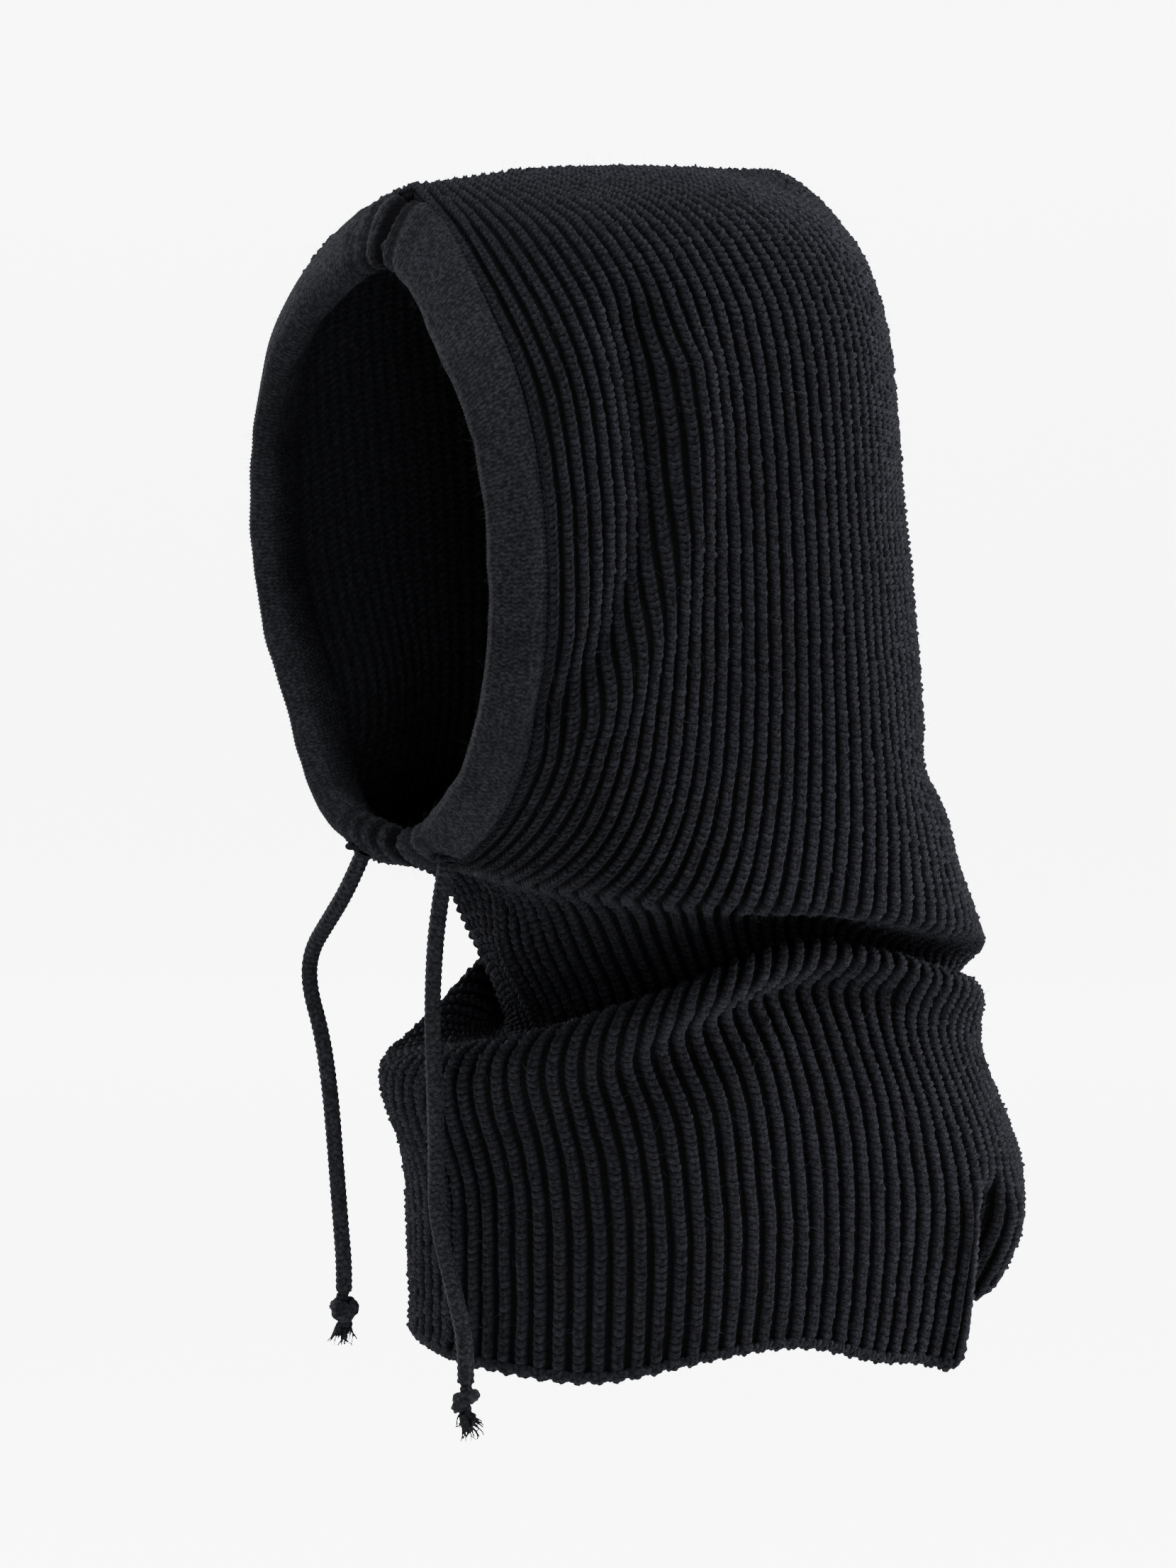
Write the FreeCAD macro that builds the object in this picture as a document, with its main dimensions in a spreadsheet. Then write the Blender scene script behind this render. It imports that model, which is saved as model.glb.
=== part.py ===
"""Hooded knit balaclava with a drawstring, in millimetres.

The garment is one rib-knit strip, folded over the crown.  Its back edges meet in
the centre-back seam and its front edges meet in the throat seam below the chin.
Between them the face opening is edged by a plain-knit casing that carries the
drawstring.  +Z is up, the face looks along -Y and the wearer's left is +X.  The
origin is the middle of the head space.
"""
import FreeCAD, Part
import Sketcher
import math
import os

from FreeCAD import Placement, Rotation, Vector

DEGREE = 3
# Share of its neighbours' mean offset by which an even cubic misses a control point.
SPLINE_PULL = 1 / 6
MIRROR_PLANE = Vector(1, 0, 0)

# ---------------------------------------------------------------- driving dimensions
SIZES = {
    "knit_thickness": 4.5,
    "casing_wall": 1.6,
    "casing_thickness": 9.6,
    "casing_gap": 1.3,
    "casing_lip": 4.0,
    "casing_forward": 11.0,
    "casing_lean_side": 0.12,
    "casing_lean_crown": 0.17,
    "casing_lean_chin": 0.08,
    "face_middle_z": 2.0,
    "cord_diameter": 5.3,
    "seam_width": 3.0,
    "seam_height": 1.6,
    "seam_stand_off": 0.2,
    "hem_chain_height": 3.4,
    "hem_corner_dip": 25.0,
    "eyelet_height": 4.4,
    "eyelet_ring_radius": 4.1,
    "eyelet_thread_radius": 0.9,
    "eyelet_hole_radius": 3.4,
    "swing_clearance": 0.4,
    "stub_height": 15.0,
    "cordless_chin_margin": 14.0,
    "knot_radius": 5.2,
    "knot_half_height": 6.5,
    "fray_top_radius": 3.2,
    "fray_bottom_radius": 5.6,
    "fray_length": 9.0,
}

# Levels of the left half of the strip, from the crown fold down to the hem.  Each
# has its front edge (x, y, z), the widest place of its side (x, y, z) and its back
# edge (y, z); the back edge lies on the symmetry plane.
LEVELS = {
    "crown_fold": ((0, -63, 115), (0, 28, 124), (97, 111)),
    "crown_round": ((21, -68, 106), (50, 28, 123), (103, 101)),
    "temple_top": ((49, -72, 82), (79, 24, 104), (105, 75)),
    "temple": ((71, -70, 50), (83, 22, 56), (110, 30)),
    "ear": ((77, -68, 2), (83, 22, 8), (115, -18)),
    "jaw": ((73, -67, -46), (83, 24, -38), (118, -62)),
    "jaw_low": ((54, -66, -80), (84, 28, -72), (128, -96)),
    "hood_bulge": ((25, -65, -98), (87, 32, -102), (142, -122)),
    "hood_fold": ((0, -58, -102), (88, 34, -119), (151, -136)),
    "hood_underside": ((0, -44, -106), (69, 34, -115), (154, -142)),
    "throat": ((0, -33, -127), (51, 34, -120), (156, -147)),
    "neck_pit": ((0, -8, -161), (51, 34, -145), (157, -150)),
    "roll_inside": ((0, -28, -165), (54, 34, -138), (158, -153)),
    "roll_top": ((0, -48, -154), (66, 34, -118), (160, -156)),
    "roll_outside": ((0, -64, -168), (81, 34, -125), (161, -162)),
    "roll_underside": ((0, -54, -193), (62, 34, -143), (160, -172)),
    "bib_top": ((0, -50, -206), (70, 36, -169), (171, -196)),
    "bib_middle": ((0, -50, -226), (70, 38, -214), (184, -218)),
    "bib_low": ((0, -50, -244), (68, 40, -245), (176, -229)),
    "hem": ((0, -50, -258), (66, 42, -261), (168, -239)),
}
# Share of the hem's dip at its rear corners that each level takes.
HEM_DIP_SHARE = {"bib_middle": 0.25, "bib_low": 0.7, "hem": 1.0}
LEVEL_CELLS = ("front_x", "front_y", "front_z", "side_x", "side_y", "side_z", "back_y", "back_z")
FIRST_CLOSED_LEVEL = "hood_fold"
HOOD_ENDS_AT = "hood_underside"
NECK_ENDS_AT = "neck_pit"

# Routes of the two free cord ends, from the pivot under the eyelet to the knot.
LEFT_ROUTE = [
    (23.0, -68.5, -99.5), (21.6, -70.3, -113.0), (19.4, -70.5, -130.0), (18.6, -70.5, -148.0),
    (19.8, -70.5, -168.0), (20.8, -70.5, -190.0), (20.2, -70.5, -209.0), (26.0, -70.5, -224.0),
    (33.0, -70.5, -240.0), (35.6, -70.0, -251.0), (35.4, -70.0, -261.5),
]
RIGHT_ROUTE = [
    (-23.0, -68.5, -99.5), (-28.0, -70.0, -109.5), (-38.0, -70.5, -120.5), (-48.5, -70.5, -131.5),
    (-49.5, -70.5, -143.0), (-42.0, -70.5, -158.0), (-37.4, -70.5, -177.0), (-34.4, -70.5, -200.0),
    (-31.6, -70.5, -222.0), (-30.8, -70.0, -233.0), (-31.0, -70.0, -241.5),
]


def write_sheet(doc):
    """Put every driving dimension in the sheet, each under its own alias."""
    sheet = doc.addObject("Spreadsheet::Sheet", "Sizes")
    values = dict(SIZES)
    for level, (front, side, back) in LEVELS.items():
        for cell, value in zip(LEVEL_CELLS, (*front, *side, *back)):
            values[f"{level}_{cell}"] = value
    for row, (alias, value) in enumerate(values.items(), start=1):
        sheet.set(f"A{row}", alias)
        sheet.set(f"B{row}", str(value))
        sheet.setAlias(f"B{row}", alias)
    doc.recompute()
    return sheet


def lerp(start, end, share):
    return start + (end - start) * share


# ---------------------------------------------------------------- the knit surface
def level_poles(sheet, level):
    """The seven control points of one level, from its front edge round to its back edge."""
    size = {cell: sheet.get(f"{level}_{cell}") for cell in LEVEL_CELLS}
    front = Vector(size["front_x"], size["front_y"], size["front_z"])
    side = Vector(size["side_x"], size["side_y"], size["side_z"])
    back = Vector(0, size["back_y"], size["back_z"])
    if level == "crown_fold":
        # (share of the way front to side or side to back, share of the height change)
        front_half = [(0, 0), (0.35, 0.75), (0.75, 1)]
        back_half = [(0.15, 0), (0.55, 0.1), (0.86, 0.5), (1, 1)]
        poles = [Vector(0, lerp(front.y, side.y, a), lerp(front.z, side.z, b)) for a, b in front_half]
        return poles + [Vector(0, lerp(side.y, back.y, a), lerp(side.z, back.z, b)) for a, b in back_half]
    dip = sheet.get("hem_corner_dip") * HEM_DIP_SHARE.get(level, 0)
    return [
        front,
        Vector(lerp(front.x, side.x, 0.56), lerp(front.y, side.y, 0.04), lerp(front.z, side.z, 0.15)),
        Vector(side.x * 0.96, lerp(front.y, side.y, 0.40), lerp(front.z, side.z, 0.55)),
        Vector(side.x * 1.02, lerp(side.y, back.y, 0.10), side.z),
        Vector(side.x * 0.94, lerp(side.y, back.y, 0.62), lerp(side.z, back.z, 0.55) - dip),
        Vector(side.x * 0.50, back.y, lerp(side.z, back.z, 0.92)),
        back,
    ]


def clamped_knots(pole_count):
    """Even knots from 0 to 1, with their multiplicities, for a clamped cubic."""
    spans = pole_count - DEGREE
    knots = [i / spans for i in range(spans + 1)]
    return knots, [DEGREE + 1] + [1] * (spans - 1) + [DEGREE + 1]


def periodic_knots(pole_count):
    return [i / pole_count for i in range(pole_count + 1)], [1] * (pole_count + 1)


def greville(index, pole_count):
    """The place along a clamped cubic that control point number `index` pulls on most."""
    spans = pole_count - DEGREE
    inner = [min(max(index + step - DEGREE, 0), spans) for step in (1, 2, 3)]
    return sum(inner) / (3 * spans)


def clamped_surface(poles):
    u_knots, u_mults = clamped_knots(len(poles))
    v_knots, v_mults = clamped_knots(len(poles[0]))
    surface = Part.BSplineSurface()
    surface.buildFromPolesMultsKnots(
        poles, u_mults, v_mults, u_knots, v_knots, False, False, DEGREE, DEGREE)
    return surface


def ring_surface(poles):
    """A tube that closes on itself, from rings of section points."""
    u_knots, u_mults = periodic_knots(len(poles))
    v_knots, v_mults = periodic_knots(len(poles[0]))
    surface = Part.BSplineSurface()
    surface.buildFromPolesMultsKnots(
        poles, u_mults, v_mults, u_knots, v_knots, True, True, DEGREE, DEGREE)
    return surface


def outward(surface, u, v):
    """Unit normal on the visible side of the knit; it points away from the wearer at the ear."""
    ear = list(LEVELS).index("ear")
    at_ear = surface.normal(greville(ear, len(LEVELS)), 0.5)
    normal = surface.normal(u, v)
    return normal if at_ear.x > 0 else normal * -1


def knit_surfaces(sheet):
    """The visible and the hidden face of the left half of the strip."""
    poles = [level_poles(sheet, level) for level in LEVELS]
    visible = clamped_surface(poles)
    thickness = sheet.get("knit_thickness")
    rows, columns = len(poles), len(poles[0])
    hidden_poles = []
    for i, row in enumerate(poles):
        hidden_row = []
        for j, pole in enumerate(row):
            moved = pole - outward(visible, greville(i, rows), greville(j, columns)) * thickness
            if pole.x == 0:
                moved.x = 0
            hidden_row.append(moved)
        hidden_poles.append(hidden_row)
    return visible, clamped_surface(hidden_poles)


def level_place(level):
    """Where a level lies between the crown fold, 0, and the hem, 1."""
    return greville(list(LEVELS).index(level), len(LEVELS))


def slab(visible, hidden, top, bottom):
    """The solid between two surfaces, from one level place down to another."""
    faces = []
    edges = []
    for surface in (visible, hidden):
        piece = surface.copy()
        piece.segment(top, bottom, 0, 1)
        faces.append(piece.toShape())
        edges.append([
            piece.uIso(top).toShape(), piece.uIso(bottom).toShape(),
            piece.vIso(0).toShape(), piece.vIso(1).toShape(),
        ])
    faces += [Part.makeRuledSurface(a, b) for a, b in zip(*edges)]
    return closed_solid(faces)


def closed_solid(faces):
    shell = Part.makeShell(faces)
    shell.sewShape()
    solid = Part.makeSolid(Part.Shell(shell.Faces))
    if solid.Volume < 0:
        solid.reverse()
    return solid


def bar(corner_rows):
    """A four-sided strip through four rows of points, closed at both ends."""
    curves = []
    for row in corner_rows:
        curve = Part.BSplineCurve()
        curve.interpolate(row)
        curves.append(curve.toShape())
    faces = [Part.makeRuledSurface(curves[i], curves[(i + 1) % 4]) for i in range(4)]
    for end in (0, -1):
        first = Part.makeLine(corner_rows[0][end], corner_rows[1][end])
        second = Part.makeLine(corner_rows[3][end], corner_rows[2][end])
        faces.append(Part.makeRuledSurface(first, second))
    return closed_solid(faces)


def mirrored(shape):
    return shape.mirror(Vector(0, 0, 0), MIRROR_PLANE)


def both_sides(shape):
    return Part.makeCompound([shape, mirrored(shape)])


def even(start, end, count):
    return [lerp(start, end, i / (count - 1)) for i in range(count)]


# ---------------------------------------------------------------- seams and hem
def centre_seam(sheet, visible, v, top, bottom):
    """A linked seam that stands on the knit along the symmetry plane."""
    half = sheet.get("seam_width") / 2
    low = sheet.get("seam_stand_off")
    high = low + sheet.get("seam_height")
    rows = [[], [], [], []]
    for u in even(top, bottom, 60):
        point = visible.value(u, v)
        point.x = 0
        normal = outward(visible, u, v)
        normal.x = 0
        normal.normalize()
        for row, (side, height) in zip(rows, ((-half, low), (half, low), (half, high), (-half, high))):
            row.append(point + normal * height + Vector(side, 0, 0))
    return bar(rows)


def casing_seam(sheet, visible, bottom):
    """The chain of linking stitches that lies over the join of knit and casing, left half."""
    half = sheet.get("seam_width") / 3
    low = sheet.get("seam_stand_off")
    high = low + sheet.get("seam_height")
    rows = [[], [], [], []]
    for u in even(0, bottom, 40):
        point = visible.value(u, 0)
        normal = outward(visible, u, 0)
        across = visible.value(u, 0.02) - point
        across.normalize()
        centre = point + across * (half + 0.4)
        for row, (side, height) in zip(rows, ((-half, low), (half, low), (half, high), (-half, high))):
            corner = centre + normal * height + across * side
            corner.x = max(corner.x, 0)
            row.append(corner)
    return bar(rows)


def hem_chain(sheet, visible, hidden):
    """The bind-off chain under the hem, left half."""
    gap = sheet.get("seam_stand_off")
    height = sheet.get("hem_chain_height")
    rows = [[], [], [], []]
    for v in even(0, 1, 30):
        outer = visible.value(1, v)
        inner = hidden.value(1, v)
        down = outer - visible.value(0.995, v)
        down.normalize()
        for row, (edge, drop) in zip(rows, ((outer, gap), (inner, gap), (inner, height), (outer, height))):
            row.append(edge + down * drop)
    return bar(rows)


# ---------------------------------------------------------------- the face casing
def casing_stations(sheet, visible):
    """Places round the face edge, each an edge point, the way forward to the opening and the way out.

    The casing leans in from the knit edge towards the middle of the face, and comes forward.
    """
    count = 9
    middle = Vector(0, 0, sheet.get("face_middle_z"))
    last = level_place(FIRST_CLOSED_LEVEL) * 0.985
    left = []
    for u in even(0, last, count):
        edge = visible.value(u, 0)
        lean = sheet.get("casing_lean_crown" if edge.z > middle.z else "casing_lean_chin")
        step = Vector(
            -edge.x * sheet.get("casing_lean_side"),
            -sheet.get("casing_forward"),
            (middle.z - edge.z) * lean,
        )
        left.append((edge, step))
    for edge, step in (left[0], left[-1]):
        edge.x = 0
        step.x = 0
    right = [(Vector(-e.x, e.y, e.z), Vector(-s.x, s.y, s.z)) for e, s in left[-2:0:-1]]
    ring = left + right
    stations = []
    for k, (edge, step) in enumerate(ring):
        before = ring[k - 1][0]
        after = ring[(k + 1) % len(ring)][0]
        along = after - before
        middle_pull = (before + after - edge * 2) * SPLINE_PULL
        forward = Vector(step).normalize()
        out = forward.cross(along).normalize()
        if out.dot(edge - middle) < 0:
            out = out * -1
        stations.append((edge - middle_pull, step.Length, forward, out))
    return stations


def casing_surface(sheet, stations, inset):
    """A flattened tube round the face opening, `inset` smaller all round than the casing."""
    half = (sheet.get("casing_thickness") / 2 - inset) * 1.28
    sink = sheet.get("knit_thickness") * 0.4
    near = sheet.get("casing_gap") + inset
    rings = []
    for edge, width, forward, out in stations:
        far = width + sheet.get("casing_lip") - inset
        profile = [
            (near - 0.6, -0.7), (near - 0.6, 0.7),
            (lerp(near, far, 0.30), 1.06), (lerp(near, far, 0.72), 1.06),
            (far + 0.6, 0.7), (far + 0.6, -0.7),
            (lerp(near, far, 0.72), -1.06), (lerp(near, far, 0.30), -1.06),
        ]
        rings.append([edge + forward * way + out * (height * half - sink) for way, height in profile])
    return ring_surface(rings)


def solid_ring(surface):
    solid = Part.Solid(Part.Shell([surface.toShape()]))
    if solid.Volume < 0:
        solid.reverse()
    return solid


def hidden_route(channel, pivots, stub_top, stub_bottom, chin_margin):
    """The drawstring inside the casing: up through one eyelet, round over the crown, down the other.

    The places are read from the middle of the channel, evenly round it, leaving out the
    stretch at the chin between the eyelets, where no cord runs.
    """
    steps = 26
    section = 8
    middles = []
    for k in range(steps):
        ring = [channel.value(k / steps, i / section) for i in range(section)]
        total = Vector(0, 0, 0)
        for point in ring:
            total = total + point
        middles.append(total * (1 / section))
    chin_reach = pivots["left"].x + chin_margin
    above_chin = [p for p in middles if p.z > 0 or abs(p.x) > chin_reach]
    above_chin.sort(key=lambda p: math.atan2(p.x, p.z))
    left, right = pivots["left"], pivots["right"]
    over = above_chin[::-1]
    return (
        [left + Vector(0, 0, stub_bottom), Vector(left.x, left.y, left.z + stub_top)] + over
        + [Vector(right.x, right.y, right.z + stub_top), right + Vector(0, 0, stub_bottom)]
    )


# ---------------------------------------------------------------- cords
def rounded_path(points, name):
    """Straight runs joined by tangent arcs, each arc as large as its two runs allow."""
    edges = []
    start = points[0]
    radii = []
    for before, corner, after in zip(points, points[1:], points[2:]):
        to_before = before - corner
        to_after = after - corner
        reach = 0.45 * min(to_before.Length, to_after.Length)
        turn = math.pi - to_before.getAngle(to_after)
        radii.append(reach / math.tan(turn / 2))
        to_before.normalize()
        to_after.normalize()
        first = corner + to_before * reach
        last = corner + to_after * reach
        centre_way = (to_before + to_after).normalize()
        centre = corner + centre_way * (radii[-1] / math.cos(turn / 2))
        middle = centre - centre_way * radii[-1]
        edges.append(Part.LineSegment(start, first).toShape())
        edges.append(Part.Arc(first, middle, last).toShape())
        start = last
    edges.append(Part.LineSegment(start, points[-1]).toShape())
    wire = Part.Wire(edges)
    print(f"{name}: length {wire.Length:.1f}, radii", [round(r, 1) for r in radii])
    return wire


def tube(doc, name, points):
    """A round cord swept along its rounded path."""
    path = doc.addObject("Part::Feature", name + "_path")
    path.Shape = rounded_path(points, name)
    section = doc.addObject("Part::Circle", name + "_section")
    section.setExpression("Radius", "Sizes.cord_diameter / 2")
    way = (points[1] - points[0]).normalize()
    section.Placement = Placement(points[0], Rotation(Vector(0, 0, 1), way))
    sweep = doc.addObject("Part::Sweep", name)
    sweep.Sections = [section]
    sweep.Spine = (path, [])
    sweep.Solid = True
    sweep.Frenet = True
    doc.recompute()
    expected = math.pi * section.Radius.Value ** 2 * path.Shape.Length
    print(f"{name}: volume {sweep.Shape.Volume:.0f}, section times length {expected:.0f}")
    return sweep


def hanging_cord(doc, label, route):
    """One free end of the drawstring, with a round top that turns under its eyelet."""
    points = [Vector(*place) for place in route]
    sweep = tube(doc, label + "_cord", points)
    ball = doc.addObject("Part::Sphere", label + "_top")
    ball.setExpression("Radius", "Sizes.cord_diameter / 2")
    ball.Placement = Placement(points[0], Rotation())
    cord = doc.addObject("Part::Fuse", label)
    cord.Base = sweep
    cord.Tool = ball
    return cord


def end_knot(doc, label, top):
    """The overhand knot near the cord's end, as the round it fills."""
    knot = doc.addObject("Part::Ellipsoid", label)
    knot.setExpression("Radius1", "Sizes.knot_half_height")
    knot.setExpression("Radius2", "Sizes.knot_radius")
    knot.setExpression("Radius3", "Sizes.knot_radius")
    doc.recompute()
    knot.Placement = Placement(top - Vector(0, 0, knot.Radius1.Value - 1), Rotation())
    return knot


def frayed_end(doc, label, top):
    """The loose strands below the knot, as the cone they fill."""
    fray = doc.addObject("Part::Cone", label)
    fray.setExpression("Radius1", "Sizes.fray_bottom_radius")
    fray.setExpression("Radius2", "Sizes.fray_top_radius")
    fray.setExpression("Height", "Sizes.fray_length")
    doc.recompute()
    fray.Placement = Placement(top - Vector(0, 0, fray.Height.Value), Rotation())
    return fray


# ---------------------------------------------------------------- eyelets
def eyelet(doc, label, centre, way):
    """A worked thread ring, revolved from a round section."""
    body = doc.addObject("PartDesign::Body", label)
    sketch = body.newObject("Sketcher::SketchObject", label + "_section")
    plane = next(f for f in body.Origin.OriginFeatures if f.Role == "XZ_Plane")
    sketch.AttachmentSupport = [(plane, "")]
    sketch.MapMode = "FlatFace"
    sketch.addGeometry(Part.Circle(Vector(4, 0, 0), Vector(0, 0, 1), 1), False)
    ring = sketch.addConstraint(Sketcher.Constraint("DistanceX", -1, 1, 0, 3, 4))
    sketch.addConstraint(Sketcher.Constraint("PointOnObject", 0, 3, -1))
    thread = sketch.addConstraint(Sketcher.Constraint("Radius", 0, 1))
    sketch.setExpression(f"Constraints[{ring}]", "Sizes.eyelet_ring_radius")
    sketch.setExpression(f"Constraints[{thread}]", "Sizes.eyelet_thread_radius")
    turned = body.newObject("PartDesign::Revolution", label + "_ring")
    turned.Profile = sketch
    turned.ReferenceAxis = (sketch, ["V_Axis"])
    turned.Angle = 360
    doc.recompute()
    body.Placement = Placement(centre, Rotation(Vector(0, 0, 1), way))
    return body


def feature(doc, label, shape):
    node = doc.addObject("Part::Feature", label)
    node.Shape = shape
    return node


def check(doc, nodes):
    """Stop before anything is written if an object failed or a shape is not sound."""
    for item in doc.Objects:
        bad = {"Invalid", "Error"} & set(item.State)
        if bad:
            raise RuntimeError(f"{item.Label} is {bad}")
    for node in nodes:
        if node.Shape.isNull() or not node.Shape.isValid():
            raise RuntimeError(f"{node.Label} has no sound shape")
        print(f"{node.Label}: {len(node.Shape.Solids)} solid(s), {node.Shape.Volume / 1000:.1f} ml")


def main():
    doc = FreeCAD.newDocument("balaclava")
    sheet = write_sheet(doc)
    visible, hidden = knit_surfaces(sheet)
    hood_end = level_place(HOOD_ENDS_AT)
    neck_end = level_place(NECK_ENDS_AT)
    chin = level_place(FIRST_CLOSED_LEVEL)
    nodes = []

    for zone, top, bottom in (("hood", 0, hood_end), ("neck", hood_end, neck_end), ("cowl", neck_end, 1)):
        left = slab(visible, hidden, top, bottom)
        nodes.append(feature(doc, f"{zone}_knit_left", left))
        nodes.append(feature(doc, f"{zone}_knit_right", mirrored(left)))

    nodes.append(feature(doc, "centre_back_seam", centre_seam(sheet, visible, 1, 0.004, 0.996)))
    nodes.append(feature(doc, "throat_seam", centre_seam(sheet, visible, 0, chin + 0.02, 0.996)))
    nodes.append(feature(doc, "casing_linking_seam", both_sides(casing_seam(sheet, visible, chin * 0.97))))
    nodes.append(feature(doc, "hem_bind_off", both_sides(hem_chain(sheet, visible, hidden))))

    stations = casing_stations(sheet, visible)
    channel = casing_surface(sheet, stations, sheet.get("casing_wall"))
    casing = solid_ring(casing_surface(sheet, stations, 0)).cut(solid_ring(channel))
    routes = {"left": LEFT_ROUTE, "right": RIGHT_ROUTE}
    pivots = {side: Vector(*route[0]) for side, route in routes.items()}
    for pivot in pivots.values():
        hole = Part.makeCylinder(sheet.get("eyelet_hole_radius"), 12, pivot, Vector(0, 0, 1))
        casing = casing.cut(hole)
    nodes.append(feature(doc, "face_casing", casing))
    stub_bottom = sheet.get("cord_diameter") / 2 + sheet.get("swing_clearance")
    chin_margin = sheet.get("cordless_chin_margin")
    inner = hidden_route(channel, pivots, sheet.get("stub_height"), stub_bottom, chin_margin)
    nodes.append(tube(doc, "drawstring_in_casing", inner))

    for side, pivot in pivots.items():
        route = routes[side]
        end = Vector(*route[-1])
        nodes.append(eyelet(doc, f"eyelet_{side}", pivot + Vector(0, 0, sheet.get("eyelet_height")), Vector(0, 0, 1)))
        nodes.append(hanging_cord(doc, f"drawstring_tail_{side}", route))
        nodes.append(end_knot(doc, f"end_knot_{side}", end))
        nodes.append(frayed_end(doc, f"frayed_end_{side}", end - Vector(0, 0, 10)))

    doc.recompute()
    check(doc, nodes)
    os.makedirs("parts", exist_ok=True)
    for node in nodes:
        node.Shape.exportStep(f"parts/{node.Label}.step")
    print(len(nodes), "nodes written")


main()
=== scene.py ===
"""Hooded rib-knit balaclava with a drawstring round its face opening, for Blender.

The left half of the garment is one strip of knit.  Its surface is worked out from the same
control places as the frame's, and then the ribs, the stitches, the casing, the seams, the
cord ends and the loose fibres are built on it.  The right half is its mirror, with soft
folds of its own.  Lengths are in metres, +Z is up and the face looks along -Y.
"""
import math

import bpy
import numpy as np
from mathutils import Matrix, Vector


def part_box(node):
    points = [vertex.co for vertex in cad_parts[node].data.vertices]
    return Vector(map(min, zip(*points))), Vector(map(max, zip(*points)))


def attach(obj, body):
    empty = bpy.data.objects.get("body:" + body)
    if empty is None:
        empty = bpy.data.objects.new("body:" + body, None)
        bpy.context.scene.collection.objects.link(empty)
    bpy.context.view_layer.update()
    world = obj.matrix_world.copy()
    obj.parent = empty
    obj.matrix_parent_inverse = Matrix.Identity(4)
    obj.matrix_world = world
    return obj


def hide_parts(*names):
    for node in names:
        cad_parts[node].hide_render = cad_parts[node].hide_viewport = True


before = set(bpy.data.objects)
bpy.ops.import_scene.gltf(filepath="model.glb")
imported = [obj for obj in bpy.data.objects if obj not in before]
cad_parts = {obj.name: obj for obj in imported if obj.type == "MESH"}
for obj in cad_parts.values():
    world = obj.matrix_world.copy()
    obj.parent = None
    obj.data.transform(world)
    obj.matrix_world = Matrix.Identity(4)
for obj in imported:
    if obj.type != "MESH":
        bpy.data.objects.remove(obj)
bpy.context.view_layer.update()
MM = 0.001
RANDOM = np.random.default_rng(20)
MIRRORED = np.array([-1, 1, 1])

# -------------------- camera
CAMERA_AZIMUTH = 52  # degrees from the front of the face, towards the wearer's left
CAMERA_ELEVATION = 5
CAMERA_DISTANCE = 1.8
CAMERA_TARGET = Vector((0.0033, 0.0043, -0.0770))
CAMERA_LENS = 126.3

# -------------------- cord ends
CORD_COURSE = 0.0021  # height of one stitch of the cord
TAIL_ROUTES = {
    "left": [
        (0.0230, -0.0685, -0.0995), (0.0216, -0.0703, -0.1130), (0.0194, -0.0705, -0.1300),
        (0.0186, -0.0705, -0.1480), (0.0198, -0.0705, -0.1680), (0.0208, -0.0705, -0.1900),
        (0.0202, -0.0705, -0.2090), (0.0260, -0.0705, -0.2240), (0.0330, -0.0705, -0.2400),
        (0.0356, -0.0700, -0.2510), (0.0354, -0.0700, -0.2615),
    ],
    "right": [
        (-0.0230, -0.0685, -0.0995), (-0.0280, -0.0700, -0.1095), (-0.0380, -0.0705, -0.1205),
        (-0.0485, -0.0705, -0.1315), (-0.0495, -0.0705, -0.1430), (-0.0420, -0.0705, -0.1580),
        (-0.0374, -0.0705, -0.1770), (-0.0344, -0.0705, -0.2000), (-0.0316, -0.0705, -0.2220),
        (-0.0308, -0.0700, -0.2330), (-0.0310, -0.0700, -0.2415),
    ],
}
TAIL_ABOVE_EXIT = 0.0030  # how far each tail starts inside the casing
TAIL_RADIUS = 0.00275
KNOT_CORD_RADIUS = 0.0020  # the cord is squeezed in the knot
HIDDEN_CORD_RADIUS = 0.0026
CORD_WALES = 6
LINE_STEP = 0.0005  # between the points of the lines that tubes follow
# The knot's line, in millimetres from the end of the tail.
KNOT_ROUTE = [
    (0.0, 0.0, 1.5), (0.3, 0.2, -1.0), (1.2, -1.2, -3.6), (0.9, -3.0, -6.2), (-1.6, -3.0, -8.2),
    (-3.2, -0.6, -7.6), (-3.0, 2.3, -5.8), (-0.4, 3.4, -4.4), (2.6, 2.2, -3.6), (3.3, -0.8, -4.6),
    (1.4, -3.3, -5.0), (-1.8, -2.6, -4.6), (-2.4, 0.0, -6.4), (-0.6, 0.8, -9.0), (0.4, 0.2, -12.0),
]
KNOT_TIGHTNESS = 0.9  # scales the knot's line across, not down
FRAY_YARNS = 46
CORD_STITCH_HEIGHT = 0.00034
CORD_WALE_DEPTH = 0.00030
YARN_SHADE_VALUE = 0.75  # yarns' value for the wool's painted groove shade; the same all over, it darkens them only a little
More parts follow.
